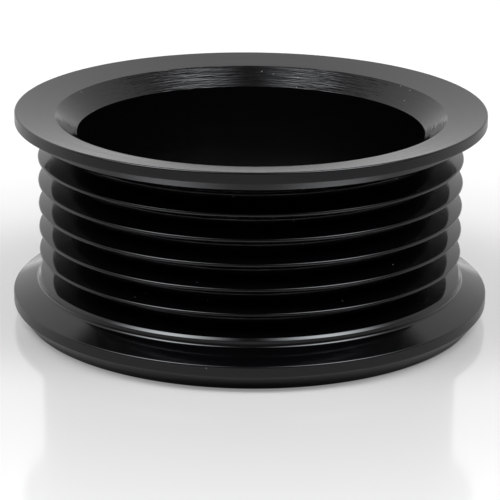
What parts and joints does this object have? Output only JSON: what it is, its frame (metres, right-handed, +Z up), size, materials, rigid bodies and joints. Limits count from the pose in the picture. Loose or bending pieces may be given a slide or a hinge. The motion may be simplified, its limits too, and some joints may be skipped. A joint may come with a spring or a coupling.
{
  "type": "ribbed belt pulley",
  "caption": "Turned ring pulley in black anodised aluminium with V grooves for a ribbed belt between two flanges, a dished upper face and a wide countersunk bore for its hub.",
  "frame": {"origin": "centre of the bottom face, on the axis", "axes": "+Z up along the axis, towards the dished upper face; X and Y are alike, as the part is round"},
  "size_m": [0.0704, 0.0704, 0.031],
  "materials": {
    "black_anodised": "satin black anodised, finely turned"
  },
  "bodies": {
    "root": {"pulley": "black_anodised"}
  },
  "joints": []
}
